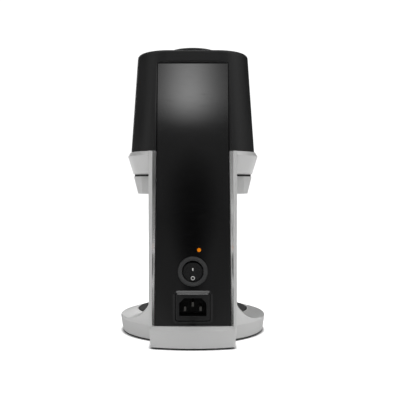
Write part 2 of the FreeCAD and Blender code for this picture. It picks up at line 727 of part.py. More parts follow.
def fork_shim():
    """A thin plate between one arm and the head collar, clear of the pad's flange."""
    outline = Part.Face(head_outline(ARM_HALF_TOP - SHIM_INSET, 78.0, ARM_Z1, ARM_CORNER_R))
    shim = outline.extrude(vec(0, 0, COLLAR_Z0 - ARM_Z1))
    shim = shim.common(box(PAD_FLANGE_X + 0.4, FOOT_R, -REAR_Y, ARM_REAR_Y - SHIM_INSET, 0, TOP_Z))
    shim = shim.cut(arm_column_space(0.6)).cut(arm_corner(SHIM_INSET))
    for x, y in ARM_SCREWS:
        shim = shim.cut(bore(M5_R + 0.25, x, y))
    return shim


def fork_pad():
    wall = box(PAD_INNER_X, ARM_INNER_X, *PAD_Y, ARM_Z0 + 1.7, ARM_Z1)
    flange = box(PAD_INNER_X, PAD_FLANGE_X, *PAD_Y, ARM_Z1, ARM_Z1 + 1.2)
    return fuse(wall, flange).cut(lead_in(PAD_INNER_X - 2.3, PAD_Y[0] - 1.0, 4.3, 8.0))


def fork():
    arm = fork_arm()
    save("fork_arm_left", arm)
    save("fork_arm_right", mirror_x(arm))
    pad = fork_pad()
    save("fork_pad_left", pad)
    save("fork_pad_right", mirror_x(pad))
    head_z, seat_z = FORK_HEAD_Z
    screws = []
    for x, y in ARM_SCREWS:
        screw = socket_screw(M5_R, FORK_HEAD_R, LARGE_KEY, FORK_SCREW_TIP_Z, seat_z, head_z, x, y)
        screws += both_sides(screw)
    save("fork_shims", *both_sides(fork_shim()))
    save("fork_screws", *screws)


# --- ram ---

def ram():
    boss_top = DISC_Z + 7.0
    disc = revolve([
        (0.0, DISC_Z), (DISC_R - 0.5, DISC_Z), (DISC_R, DISC_Z + 0.5), (DISC_R, DISC_Z + 5.0),
        (DISC_R - 1.0, DISC_Z + 6.0), (18.0, boss_top), (0.0, boss_top),
    ])
    seat_z = DISC_Z + 4.2
    tip_z = boss_top + 12.0
    save("tamper_disc", disc.cut(cylinder(6.6, DISC_Z - 1, seat_z)).cut(bore(M6_R)))
    save("tamper_screw", socket_screw(M6_R, 6.5, LARGE_KEY, tip_z, seat_z, DISC_Z + 0.6))
    shank = cylinder(RAM_R, boss_top, RAM_TOP_Z)
    shank = shank.cut(cylinder(RAM_BORE_R, tip_z + 1.0, TOP_Z)).cut(cylinder(M6_R, 0, tip_z))
    save("ram_tube", shank)
    nut = fuse(cylinder(RAM_BORE_R, 202.0, RAM_TOP_Z), cylinder(17.5, RAM_TOP_Z, RAM_TOP_Z + 3.0))
    save("lead_nut", nut.cut(bore(SCREW_R + RUN_CLEARANCE)))
    crosshead()


def crosshead():
    """The bar that keeps the ram from turning: a bush on each guide pillar, a tab for the home sensor."""
    low, high = CROSSHEAD_Z
    boss_r = 9.0
    bush_r = 7.0
    bar = box(-GUIDE_X, GUIDE_X, AXIS_Y - boss_r, AXIS_Y + boss_r, low, high)
    bosses = [cylinder(boss_r, low, high, x) for x in (-GUIDE_X, GUIDE_X)]
    tab = box(-0.8, 0.8, AXIS_Y - 27, AXIS_Y - 18, low, high)
    bar = fuse(bar, cylinder(20.0, low, high), *bosses)
    bar = fuse(bar, tab).cut(bore(RAM_R))
    bushes = []
    for x in (-GUIDE_X, GUIDE_X):
        bar = bar.cut(bore(bush_r, x))
        bushes.append(tube(bush_r, GUIDE_R + RUN_CLEARANCE, low - 1.0, high + 1.0, x))
    save("crosshead", bar)
    save("crosshead_bushes", *bushes)


# --- drive ---

def involute_flank(base_r, tip_r, root_r, half_angle):
    """Points of one tooth flank, from root to tip, as (radius, angle from the tooth's middle)."""
    inv_pitch = math.tan(PRESSURE_ANGLE) - PRESSURE_ANGLE
    points = [(root_r, half_angle + inv_pitch)] if root_r < base_r else []
    steps = 5
    start = max(base_r, root_r)
    for k in range(steps + 1):
        r = start + (tip_r - start) * k / steps
        a = math.acos(base_r / r)
        points.append((r, half_angle + inv_pitch - (math.tan(a) - a)))
    return points


def spur_gear(teeth, centre_y, phase, bore_r):
    """A gear with involute flanks. phase is the angle of one tooth's middle."""
    pitch_r = GEAR_MODULE * teeth / 2.0
    tip_r = pitch_r + GEAR_MODULE
    root_r = pitch_r - 1.25 * GEAR_MODULE
    base_r = pitch_r * math.cos(PRESSURE_ANGLE)
    half_angle = math.pi / 2.0 / teeth - GEAR_BACKLASH / 4.0 / pitch_r
    flank = involute_flank(base_r, tip_r, root_r, half_angle)
    outline = []
    for k in range(teeth):
        middle = phase + 2.0 * math.pi * k / teeth
        rising = [(r, middle - a) for r, a in flank]
        falling = [(r, middle + a) for r, a in reversed(flank)]
        outline += rising + falling
    points = [(r * math.cos(a), centre_y + r * math.sin(a)) for r, a in outline]
    return prism_z(points, *GEAR_Z).cut(bore(bore_r, 0.0, centre_y))


def drive():
    gear = spur_gear(GEAR_TEETH, AXIS_Y, math.pi / 2.0, JOURNAL_R)
    window_r = 27.0
    for k in range(6):
        a = math.pi / 3 * k + math.pi / 6
        gear = gear.cut(bore(8.0, window_r * math.cos(a), AXIS_Y + window_r * math.sin(a)))
    save("drive_gear", gear)
    pinion_phase = -math.pi / 2.0 + math.pi / PINION_TEETH
    save("motor_pinion", spur_gear(PINION_TEETH, MOTOR_Y, pinion_phase, SHAFT_R))
    save("motor_shaft", cylinder(SHAFT_R, UPPER_PLATE_Z[0] - 10.0, GEAR_Z[1] + 1.6, 0.0, MOTOR_Y))
    shoulder_z = THRUST_Z[0] - 0.3
    lock_z = GEAR_Z[1] + 5.0
    screw = fuse(cylinder(SCREW_R, 191.0, shoulder_z), cylinder(JOURNAL_R, shoulder_z, lock_z + 0.6))
    save("lead_screw", screw)
    save("screw_lock_nut", hex_prism(18.0, GEAR_Z[1], lock_z).cut(bore(JOURNAL_R)))
    bore_r = JOURNAL_R + RUN_CLEARANCE
    low, cage_low, cage_high, high = THRUST_Z
    lower_washer = tube(THRUST_R, bore_r, low, cage_low)
    upper_washer = tube(THRUST_R, bore_r, cage_high, high)
    thrust = fuse(lower_washer, tube(THRUST_R - 1.5, bore_r + 1.95, cage_low, cage_high), upper_washer)
    save("screw_bearings", thrust, tube(BEARING_R, bore_r, high + 1.0, UPPER_PLATE_Z[1]))


def motor_screw(x, y):
    tip_z = UPPER_PLATE_Z[0] - MOTOR_SCREW_GRIP
    top = UPPER_PLATE_Z[1]
    return socket_screw(M3_R, MOTOR_HEAD_R, SMALL_KEY, tip_z, top - MOTOR_HEAD_HIGH, top, x, y)


def motor():
    top = UPPER_PLATE_Z[0]
    low, high = MOTOR_Z
    spigot = cylinder(SPIGOT_R, top, top + 5.0, 0.0, MOTOR_Y)
    gearbox = fuse(cylinder(MOTOR_R + 0.5, high, top, 0.0, MOTOR_Y), spigot)
    gearbox = gearbox.cut(cylinder(SHAFT_R + RUN_CLEARANCE, top - 12.0, TOP_Z, 0.0, MOTOR_Y))
    for x, y in MOTOR_SCREWS:
        gearbox = gearbox.cut(cylinder(M3_R, top - MOTOR_SCREW_GRIP, top + 1, x, y))
    save("gearbox", gearbox)
    can = cylinder(MOTOR_R, low, high, 0.0, MOTOR_Y)
    end = cylinder(6.0, low - 2.5, low, 0.0, MOTOR_Y)
    tag_y = (MOTOR_Y - 2.5, MOTOR_Y + 2.5)
    tags = [box(x - 0.4, x + 0.4, *tag_y, low - MOTOR_TAG_LONG, low) for x in MOTOR_TAGS]
    save("motor_can", fuse(can, end, *tags))


def lower_plate():
    z0, z1 = LOWER_PLATE_Z
    before_column = box(-FOOT_R, FOOT_R, -REAR_Y, COLUMN_FRONT_Y - 0.3, z0, z1)
    plate = head_plate(52.0, 60.0, z0, z1).common(before_column).cut(bore(RAM_BUSH_R))
    screws = []
    for x, y in PLATE_SCREWS:
        plate = plate.cut(bore(M35_R, x, y))
        screws.append(socket_screw(M35_R, 3.0, SMALL_KEY, PLATE_SCREW_TIP_Z, z1, z1 + 2.6, x, y))
    save("lower_plate", plate)
    return screws


def upper_plate(posts):
    bottom, top = UPPER_PLATE_Z
    plate = head_plate(47.0, 71.0, bottom, top, 18.0)
    tools = [
        cylinder(THRUST_R, 0, THRUST_Z[3]), bore(SPIGOT_R), cylinder(BEARING_R, THRUST_Z[3] + 1.0, TOP_Z),
        bore(SPIGOT_R, 0.0, MOTOR_Y),
    ]
    for x, y in MOTOR_SCREWS:
        tools += [bore(M3_R, x, y), cylinder(MOTOR_HEAD_R, top - MOTOR_HEAD_HIGH, TOP_Z, x, y)]
    seat_z = top - PILLAR_HEAD_HIGH
    screws = []
    for x, y in posts:
        tools += [bore(M4_R, x, y), cylinder(PILLAR_HEAD_R, seat_z, TOP_Z, x, y)]
        screws.append(socket_screw(M4_R, PILLAR_HEAD_R, PILLAR_KEY, PILLAR_SCREW_TIP_Z, seat_z, top, x, y))
    for tool in tools:
        plate = plate.cut(tool)
    save("upper_plate", plate)
    return screws


def mechanism_frame():
    posts = [(GUIDE_X, AXIS_Y), (-GUIDE_X, AXIS_Y)] + list(PILLARS)
    screws = lower_plate() + upper_plate(posts)
    save("mechanism_screws", *screws, *[motor_screw(x, y) for x, y in MOTOR_SCREWS])
    bottom = LOWER_PLATE_Z[1]
    top = UPPER_PLATE_Z[0]
    rods = []
    for x, y in posts:
        thread = cylinder(M4_R, PILLAR_SCREW_TIP_Z, TOP_Z, x, y)
        rods.append(cylinder(GUIDE_R, bottom, top, x, y).cut(thread))
    save("guide_pillars", *rods[:2])
    save("support_pillars", *rods[2:])
    bush_bore = RAM_R + RUN_CLEARANCE
    bush = tube(RAM_BUSH_R, bush_bore, LOWER_PLATE_Z[0], bottom + 7.7)
    save("ram_bush", fuse(bush, tube(RAM_BUSH_R + 4.0, bush_bore, bottom, bottom + 2.5)))
    bracket = box(-6.0, 6.0, AXIS_Y - 28.5, AXIS_Y - 21.5, CROSSHEAD_Z[0] - 1.5, top)
    slot = box(-2.0, 2.0, AXIS_Y - 40, AXIS_Y, CROSSHEAD_Z[0] - 2.5, CROSSHEAD_Z[1] + 3.5)
    save("home_sensor", bracket.cut(slot))


# --- electrics ---

def switch_body():
    hole_r = ROCKER_R + ROCKER_GAP
    barrel_r = SWITCH_HOLE_R - 0.2
    floor_y = SWITCH_BACK_Y + 2.0
    crown_r = (SWITCH_R + hole_r) / 2.0
    crown_half = (SWITCH_R - hole_r) / 2.0
    crown_y = PANEL_Y + 0.7
    angles = [math.pi * k / 10.0 for k in range(11)]
    crown = [(crown_r + crown_half * math.cos(a), crown_y + BEZEL_RISE * math.sin(a)) for a in angles]
    bezel = revolve_y([
        (hole_r, floor_y), (barrel_r, floor_y), (barrel_r, PANEL_Y), (SWITCH_R, PANEL_Y), *crown,
    ], 0.0, SWITCH_Z)
    floor = cylinder_y(barrel_r, SWITCH_BACK_Y, floor_y, 0.0, SWITCH_Z)
    pivot_half = PIVOT_HALF + 0.2
    pivot_hole = cylinder_x(PIVOT_R + RUN_CLEARANCE, -pivot_half, pivot_half, ROCKER_PIVOT_Y, SWITCH_Z)
    save("switch_body", fuse(bezel, floor).cut(pivot_hole))
    tags = []
    for z in (SWITCH_Z - SWITCH_TAG_DZ, SWITCH_Z + SWITCH_TAG_DZ):
        tags.append(box(-3.0, 3.0, TAG_END_Y, SWITCH_BACK_Y, z - 0.4, z + 0.4))
    save("switch_tags", *tags)


def switch_rocker():
    """The dished rocker, tipped the way it lies when it is switched off."""
    skirt_y = ROCKER_PIVOT_Y - 4.0
    face_y = ROCKER_PIVOT_Y + 5.0
    dip = 1.4
    reach = SWITCH_R
    barrel = cylinder_y(ROCKER_R, skirt_y, REAR_Y, 0.0, SWITCH_Z)
    swing = cylinder_x(ROCKER_R + 0.7, -reach, reach, ROCKER_PIVOT_Y, SWITCH_Z)
    profile = [
        (skirt_y, SWITCH_Z - reach), (face_y, SWITCH_Z - reach), (face_y - dip, SWITCH_Z),
        (face_y, SWITCH_Z + reach), (skirt_y, SWITCH_Z + reach),
    ]
    rocker = barrel.common(swing).common(prism_x(profile, -reach, reach))
    rocker = fuse(rocker, cylinder_x(PIVOT_R, -PIVOT_HALF, PIVOT_HALF, ROCKER_PIVOT_Y, SWITCH_Z))
    rocker.rotate(vec(0, ROCKER_PIVOT_Y, SWITCH_Z), vec(1, 0, 0), -ROCKER_TILT)
    save("switch_rocker", rocker)


def inlet():
    """A three-pin mains inlet: housing with two sloping upper corners, raised surround, and its pins."""
    y = PANEL_Y
    surround = sloped_plate(17.9, 14.6, 3.6, y, y + 1.9, INLET_Z, 0.55, 1.7)
    save("inlet_frame", surround.cut(rounded_rect_y(15.9, 12.9, 2.2, y - 1, y + 3, INLET_Z)))
    flange = sloped_plate(15.8, 12.8, 2.1, y, y + 1.3, INLET_Z, 0.5, 1.5)
    body = rounded_rect_y(INLET_BODY_HALF_X, INLET_BODY_HALF_Z, 1.5, INLET_BACK_Y, y, INLET_Z)
    half_x = 12.25
    cut = 4.6
    bottom = INLET_Z - 8.05
    top = INLET_Z + 8.05
    socket = prism_y([
        (-half_x, bottom), (half_x, bottom), (half_x, top - cut), (half_x - cut, top), (-half_x + cut, top),
        (-half_x, top - cut),
    ], INLET_BACK_Y + 8.0, y + 3)
    housing = fuse(flange, body).cut(socket)
    pins = []
    for x, dz in INLET_PINS:
        z = INLET_Z + dz
        pin = box(x - 1.0, x + 1.0, INLET_BACK_Y - 5.0, y - 1.6, z - 2.0, z + 2.0)
        housing = housing.cut(pin)
        pins.append(pin)
    save("inlet_housing", housing)
    save("inlet_pins", *pins)


def indicator_lamp():
    lens = cylinder_y(LAMP_R, PANEL_Y - 6.0, PANEL_Y + 0.2, LAMP_X, LAMP_Z)
    dome = Part.makeSphere(2.6, vec(LAMP_X, PANEL_Y - 1.8, LAMP_Z))
    dome = dome.common(cylinder_y(LAMP_R, PANEL_Y, REAR_Y, LAMP_X, LAMP_Z))
    save("indicator_lamp", fuse(lens, dome))


def circuit_boards():
    """The supply board, the control board above it, and what stands on them."""
    back = COLUMN_FRONT_Y + COLUMN_WALL + 1.5
    y = back + BOARD_THICK
    half = 33.0
    save("supply_board", box(-half, half, back, y, 27.0, 93.0))
    save("control_board", box(-half, half, back, y, 96.0, 142.0))
    transformer = fuse(box(-28, -8, y, y + 9, 70, 90), box(-25, -11, y + 9, y + 11, 72, 88))
    capacitors = [cylinder_y(5.0, y, y + 9, 26.0, z) for z in (32.0, 44.0, 56.0)]
    processor = box(-20, -8, y, y + BOARD_THICK, 112, 124)
    drivers = [box(2, 10, y, y + BOARD_THICK, z, z + 8) for z in (104, 118)]
    save("board_components", transformer, *capacitors, processor, *drivers)
    first_x = 14.0
    last_x = 31.0
    fin = 1.2
    fins = 5
    step = (last_x - first_x - fin) / (fins - 1)
    sink = box(first_x, last_x, y, y + 2.0, 102, 136)
    for k in range(fins):
        x = first_x + step * k
        sink = sink.fuse(box(x, x + fin, y + 2.0, y + 11.0, 102, 136))
    save("driver_heatsink", sink.removeSplitter())


def portafilter_sensors():
    """Two sprung plungers that the portafilter pushes in, each with its microswitch inside the column."""
    nose_y = 12.9
    stop_y = COLUMN_FRONT_Y + COLUMN_WALL + 0.3
    case_half = 3.2
    wall_x = COLUMN_HALF - COLUMN_WALL
    switches = []
    for name, side in (("left", 1), ("right", -1)):
        x = side * SENSOR_X
        rod = cylinder_y(PLUNGER_R, nose_y, 38.0, x, SENSOR_Z)
        tip = Part.makeSphere(PLUNGER_R, vec(x, nose_y, SENSOR_Z))
        stop = cylinder_y(3.4, stop_y, stop_y + 1.5, x, SENSOR_Z)
        save("sensing_plunger_" + name, fuse(rod, tip, stop))
        case = box(x - case_half, x + case_half, 41.4, 54.0, SENSOR_Z - 8.0, SENSOR_Z + 8.0)
        ear_x = sorted((x + side * case_half, side * wall_x))
        switches.append(fuse(case, box(*ear_x, 44.0, 51.0, SENSOR_Z - 3.0, SENSOR_Z + 3.0)))
    save("microswitches", *switches)


def wiring():
    """Mains leads from the inlet to the switch, and motor leads down to the control board."""
    pin_end = INLET_BACK_Y - 5.0
    leads = []
    for x, tag_z in ((7.0, SWITCH_Z - SWITCH_TAG_DZ), (-7.0, SWITCH_Z + SWITCH_TAG_DZ)):
        start = vec(x, pin_end, INLET_Z - 2.0)
        end = vec(math.copysign(2.0, x), TAG_END_Y, tag_z)
        low_bend = vec(x, pin_end - 9.2, start.z + 4.0)
        high_bend = vec(end.x, TAG_END_Y - 9.2, end.z - 7.0)
        leads.append(wire_tube([start, low_bend, high_bend, end], WIRE_D))
    for x in MOTOR_TAGS:
        start = vec(x, MOTOR_Y, MOTOR_Z[0] - MOTOR_TAG_LONG)
        foot = vec(x * 0.6, COLUMN_FRONT_Y + COLUMN_WALL + 1.5 + BOARD_THICK, 128.0)
        bend = vec(x + math.copysign(1.5, x), MOTOR_Y - 1.0, 134.0)
        leads.append(wire_tube([start, bend, vec(foot.x, 43.0, foot.z), foot], WIRE_D))
    save("internal_leads", *leads)


def main():
    for build in (
        rear_panel, body_casting, underside, base_mat, head_collar, hood, display, interface, dial, fork,
        ram, drive, motor, mechanism_frame, switch_body, switch_rocker, inlet, indicator_lamp,
        circuit_boards, portafilter_sensors, wiring,
    ):
        build()


main()
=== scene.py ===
import json
import math

import bmesh
import bpy
from mathutils import Matrix, Vector


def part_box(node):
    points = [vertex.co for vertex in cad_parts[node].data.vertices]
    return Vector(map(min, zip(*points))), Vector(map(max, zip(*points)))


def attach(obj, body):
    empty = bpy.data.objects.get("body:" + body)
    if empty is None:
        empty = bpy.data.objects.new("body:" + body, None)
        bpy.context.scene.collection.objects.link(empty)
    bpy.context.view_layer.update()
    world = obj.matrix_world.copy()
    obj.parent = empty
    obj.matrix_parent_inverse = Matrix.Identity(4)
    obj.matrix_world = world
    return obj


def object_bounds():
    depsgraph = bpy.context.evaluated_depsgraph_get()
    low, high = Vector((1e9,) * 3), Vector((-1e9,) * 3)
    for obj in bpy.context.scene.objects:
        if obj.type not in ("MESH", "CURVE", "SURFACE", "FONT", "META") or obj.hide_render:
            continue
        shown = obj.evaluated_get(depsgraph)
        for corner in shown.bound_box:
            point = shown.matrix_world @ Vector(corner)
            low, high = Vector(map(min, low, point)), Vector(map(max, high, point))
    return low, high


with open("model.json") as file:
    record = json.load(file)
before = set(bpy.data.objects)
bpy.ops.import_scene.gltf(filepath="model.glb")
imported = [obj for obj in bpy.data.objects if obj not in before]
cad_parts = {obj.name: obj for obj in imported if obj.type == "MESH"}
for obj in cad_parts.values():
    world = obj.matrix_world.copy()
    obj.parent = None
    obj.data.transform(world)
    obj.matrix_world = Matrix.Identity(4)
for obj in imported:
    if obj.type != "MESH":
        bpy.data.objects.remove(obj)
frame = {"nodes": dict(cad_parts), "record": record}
CAD_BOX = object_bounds()
NODES = frame["nodes"]
SCENE = bpy.context.scene

MM = 0.001
PANEL_LOW, PANEL_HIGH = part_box("rear_panel")
PANEL_FACE_Y = PANEL_HIGH.y
BEZEL_LOW, BEZEL_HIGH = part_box("switch_body")


# --- material building blocks ---

class Nodes:
    """A short way to write a node tree."""

    def __init__(self, tree):
        self.tree = tree

    def add(self, kind, **settings):
        node = self.tree.nodes.new(kind)
        for key, value in settings.items():
            setattr(node, key, value)
        return node

    def link(self, source, target):
        self.tree.links.new(source, target)

    def split(self, vector):
        """The three parts of a vector."""
        node = self.add("ShaderNodeSeparateXYZ")
        self.link(vector, node.inputs[0])
        return node.outputs

    def remap(self, value, low, high, to_low, to_high):
        node = self.add("ShaderNodeMapRange")
        limits = {"From Min": low, "From Max": high, "To Min": to_low, "To Max": to_high}
        for key, number in limits.items():
            node.inputs[key].default_value = number
        self.link(value, node.inputs["Value"])
        return node.outputs["Result"]

    def math(self, operation, a, b):
        node = self.add("ShaderNodeMath", operation=operation)
        for socket, value in zip(node.inputs, (a, b)):
            if isinstance(value, (int, float)):
                socket.default_value = value
            else:
                self.link(value, socket)
        return node.outputs[0]

    def product(self, first, *others):
        for value in others:
            first = self.math("MULTIPLY", first, value)
        return first

    def total(self, first, *others):
        for value in others:
            first = self.math("ADD", first, value)
        return first

    def rest_of(self, value):
        """1 minus the value."""
        return self.math("SUBTRACT", 1.0, value)

    def bell(self, value, centre, width):
        """1 at the centre, falling smoothly to both sides."""
        step = self.math("DIVIDE", self.math("SUBTRACT", value, centre), width)
        return self.math("EXPONENT", self.product(step, step, -1.0), 0.0)

    def mix(self, fac, a, b):
        """A colour between a and b; each is a colour or a socket."""
        node = self.add("ShaderNodeMix", data_type="RGBA")
        self.link(fac, node.inputs["Factor"])
        for socket, value in ((node.inputs[6], a), (node.inputs[7], b)):
            if isinstance(value, (tuple, list)):
                socket.default_value = (*value, 1.0)
            else:
                self.link(value, socket)
        return node.outputs[2]


class Finish(Nodes):
    """A material's node tree, with patterns sized in millimetres of the piece."""

    def __init__(self, name):
        self.material = bpy.data.materials.new(name)
        self.material.use_nodes = True
        super().__init__(self.material.node_tree)
        self.shader = self.tree.nodes["Principled BSDF"]
        self.position = self.add("ShaderNodeTexCoord").outputs["Object"]

    def constant(self, **sockets):
        for key, value in sockets.items():
            self.shader.inputs[key.replace("_", " ")].default_value = value

    def vary(self, **sockets):
        """Links values to the shader's sockets."""
        for key, value in sockets.items():
            self.link(value, self.shader.inputs[key.replace("_", " ")])

    def noise(self, size_mm, detail=3.0, stretch=(1, 1, 1)):
        """Noise whose features are about size_mm across."""
        mapping = self.add("ShaderNodeMapping")
        mapping.inputs["Scale"].default_value = [s / (size_mm * MM) for s in stretch]
        self.link(self.position, mapping.inputs["Vector"])
        return self.noise_at(mapping.outputs["Vector"], detail)

    def noise_at(self, vector, detail):
        noise = self.add("ShaderNodeTexNoise")
        noise.inputs["Scale"].default_value = 1.0
        noise.inputs["Detail"].default_value = detail
        self.link(vector, noise.inputs["Vector"])
        return noise.outputs["Fac"]

    def spots(self, size_mm, smooth=0.4):
        cells = self.add("ShaderNodeTexVoronoi", feature="SMOOTH_F1")
        cells.inputs["Scale"].default_value = 1.0 / (size_mm * MM)
        cells.inputs["Smoothness"].default_value = smooth
        self.link(self.position, cells.inputs["Vector"])
        return cells.outputs["Distance"]

    def rounded_normal(self, radius_mm):
        bevel = self.add("ShaderNodeBevel", samples=4)
        bevel.inputs["Radius"].default_value = radius_mm * MM
        return bevel.outputs["Normal"]

    def edges(self, radius_mm, low=0.02, high=0.30):
        """1 on sharp edges, 0 on flat faces."""
        plain = self.add("ShaderNodeNewGeometry")
        dot = self.add("ShaderNodeVectorMath", operation="DOT_PRODUCT")
        self.link(self.rounded_normal(radius_mm), dot.inputs[0])
        self.link(plain.outputs["Normal"], dot.inputs[1])
        return self.remap(self.rest_of(dot.outputs["Value"]), low, high, 0.0, 1.0)

    def bump(self, height, distance_mm, strength=1.0, soften_mm=0.0):
        """Relief from a height, on edges softened by soften_mm."""
        bump = self.add("ShaderNodeBump")
        bump.inputs["Strength"].default_value = strength
        bump.inputs["Distance"].default_value = distance_mm * MM
        self.link(height, bump.inputs["Height"])
        if soften_mm:
            self.link(self.rounded_normal(soften_mm), bump.inputs["Normal"])
        self.vary(Normal=bump.outputs["Normal"])


CLOUD_MM = 38.0
SCUFF_MM = 3.0
WORN_EDGE_MM = 0.5

# Nearly all values of one noise, and of two noises added up, lie in these ranges.
NOISE_SPAN = (0.3, 0.7)
NOISES_SPAN = (0.7, 1.3)


def finish_of(name, colour, rough, metal=0.0, grain_mm=0.5, grain_depth_mm=0.01, shade=0.12,
              rough_spread=0.06, wear=0.0, wear_colour=None, soften_mm=0.25, stretch=(1, 1, 1),
              **constants):
    """A finish with cloudy colour, fine grain, uneven roughness and, if asked, worn edges."""
    n = Finish(name)
    cloud = n.noise(CLOUD_MM, 2.0)
    grain = n.noise(grain_mm, 3.0, stretch)
    dark = tuple(c * (1.0 - shade) for c in colour)
    light = tuple(min(1.0, c * (1.0 + shade)) for c in colour)
    blend = n.total(n.remap(cloud, *NOISE_SPAN, 0.0, 0.6), n.remap(grain, *NOISE_SPAN, 0.0, 0.4))
    base = n.mix(blend, dark, light)
    roughness = n.remap(n.total(cloud, grain), *NOISES_SPAN, rough - rough_spread, rough + rough_spread)
    if wear:
        worn = n.product(n.edges(WORN_EDGE_MM), n.remap(n.noise(SCUFF_MM), 0.42, 0.62, 0.0, wear))
        base = n.mix(worn, base, wear_colour)
    n.vary(Base_Color=base, Roughness=roughness)
    n.constant(Metallic=metal, **constants)
    n.bump(grain, grain_depth_mm, 1.0, soften_mm)
    return n.material


# --- materials of the outside ---

def silver_paint():
    return finish_of("silver_paint", (0.76, 0.76, 0.755), 0.42, metal=0.30, grain_mm=0.30,
                     grain_depth_mm=0.006, shade=0.03, rough_spread=0.05, wear=0.35,
                     wear_colour=(0.88, 0.88, 0.88), soften_mm=0.6)


def silver_bevel():
    """The same silver, but smooth and bright like a machined bevel."""
    return finish_of("silver_bevel", (0.75, 0.75, 0.745), 0.15, metal=0.90, grain_mm=0.30,
                     grain_depth_mm=0.002, shade=0.03, rough_spread=0.04, soften_mm=0.3)


def hood_black():
    return finish_of("hood_black", (0.0105, 0.0107, 0.0110), 0.44, grain_mm=0.22, grain_depth_mm=0.008,
                     shade=0.18, wear=0.08, wear_colour=(0.03, 0.03, 0.03), soften_mm=0.5,
                     Specular_IOR_Level=0.36)


def hood_bevel():
    return finish_of("hood_bevel", (0.008, 0.008, 0.0085), 0.20, grain_mm=0.30, grain_depth_mm=0.002,
                     soften_mm=0.3)


def socket_painted_shade():
    """Matte black for the inlet's inside, darker than the housing: painted shade in the socket's
    hollow.
    """
    return finish_of("socket_painted_shade", (0.0035, 0.0035, 0.0038), 0.55, grain_mm=0.3, grain_depth_mm=0.006,
                     Specular_IOR_Level=0.3)


def panel_gloss():
    """Gloss black with a little orange peel and hair scratches too fine to read as marks."""
    n = Finish("panel_gloss")
    cloud = n.noise(60.0, 2.0)
    hair = n.noise(1.1, 4.0, (0.08, 1.0, 1.4))
    n.vary(Base_Color=n.mix(cloud, (0.0035, 0.0036, 0.0038), (0.0060, 0.0060, 0.0063)),
           Roughness=n.remap(hair, 0.55, 0.75, 0.07, 0.12))
    n.bump(n.noise(4.0, 1.0), 0.0012, 1.0, 0.4)
    return n.material


def speckled_rubber():
    """Black rubber with a raised grain and darker flecks."""
    n = Finish("mat_rubber")
    fleck_mm = 0.9
    fleck = n.remap(n.spots(fleck_mm), 0.25, 0.55, 0.0, 1.0)
    fine = n.noise(0.35, 4.0)
    dark = n.product(fleck, n.remap(fine, 0.35, 0.65, 0.2, 1.0))
    n.vary(Base_Color=n.mix(dark, (0.025, 0.025, 0.025), (0.006, 0.006, 0.006)),
           Roughness=n.remap(fine, *NOISE_SPAN, 0.62, 0.85))
    n.constant(Specular_IOR_Level=0.3)
    n.bump(n.total(n.spots(fleck_mm), n.product(fine, 0.5)), 0.09, 0.8, 0.3)
    return n.material


def turned_metal(name, colour, rough, centre, ring_mm=0.35):
    """Metal with fine turning rings round a vertical axis through centre."""
    n = Finish(name)
    move = n.add("ShaderNodeMapping")
    move.inputs["Location"].default_value = [-c for c in centre]
    n.link(n.position, move.inputs["Vector"])
    x, y, z = n.split(move.outputs["Vector"])
    flat = n.add("ShaderNodeCombineXYZ")
    n.link(x, flat.inputs["X"])
    n.link(y, flat.inputs["Y"])
    length = n.add("ShaderNodeVectorMath", operation="LENGTH")
    n.link(flat.outputs[0], length.inputs[0])
    rings_per_metre = 1.0 / (ring_mm * MM)
    line = n.add("ShaderNodeCombineXYZ")
    n.link(n.product(length.outputs["Value"], rings_per_metre), line.inputs["X"])
    n.link(n.product(z, rings_per_metre), line.inputs["Y"])
    rings = n.noise_at(line.outputs[0], 4.0)
    smudge = n.noise(14.0, 3.0)
    dark = tuple(c * 0.86 for c in colour)
    n.vary(Base_Color=n.mix(rings, dark, colour),
           Roughness=n.remap(n.total(rings, smudge), *NOISES_SPAN, rough - 0.07, rough + 0.10))
    n.constant(Metallic=1.0)
    n.bump(rings, 0.004, 1.0, 0.2)
    return n.material


def brushed_metal(name, colour, rough, stretch, grain_mm=0.25):
    return finish_of(name, colour, rough, metal=1.0, grain_mm=grain_mm, grain_depth_mm=0.004,
                     shade=0.10, rough_spread=0.10, stretch=stretch, soften_mm=0.2)


def smoked_glass():
    n = Finish("display_glass")
    n.vary(Base_Color=n.mix(n.noise(9.0), (0.004, 0.004, 0.005), (0.007, 0.007, 0.008)),
           Roughness=n.remap(n.noise(5.0, 4.0), 0.45, 0.7, 0.03, 0.09))
    n.constant(Coat_Weight=0.5)
    n.bump(n.noise(12.0, 1.0), 0.001)
    return n.material


def orange_lens():
    """An orange lamp lens that glows faintly."""
    n = Finish("lamp_orange")
    depth = n.noise(1.2, 2.0)
    n.vary(Base_Color=n.mix(depth, (0.56, 0.15, 0.001), (0.64, 0.19, 0.002)),
           Emission_Color=n.mix(depth, (0.70, 0.17, 0.000), (0.78, 0.21, 0.000)),
           Roughness=n.remap(depth, *NOISE_SPAN, 0.16, 0.26))
    n.constant(Emission_Strength=0.42, Specular_IOR_Level=0.06)
    n.bump(depth, 0.004)
    return n.material


def circuit_board():
    """Solder mask over faint copper tracks."""
    n = Finish("board_green")
    tracks = n.add("ShaderNodeTexBrick", offset=0.37)
    tracks.inputs["Scale"].default_value = 260.0
    tracks.inputs["Mortar Size"].default_value = 0.03
    n.link(n.position, tracks.inputs["Vector"])
    n.vary(Base_Color=n.mix(tracks.outputs["Fac"], (0.010, 0.075, 0.028), (0.020, 0.120, 0.045)),
           Roughness=n.remap(n.noise(2.0), *NOISE_SPAN, 0.25, 0.4))
    n.bump(tracks.outputs["Fac"], 0.03, 0.6, 0.1)
    return n.material


DISC_LOW, DISC_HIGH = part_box("tamper_disc")
AXIS = (DISC_LOW + DISC_HIGH) / 2


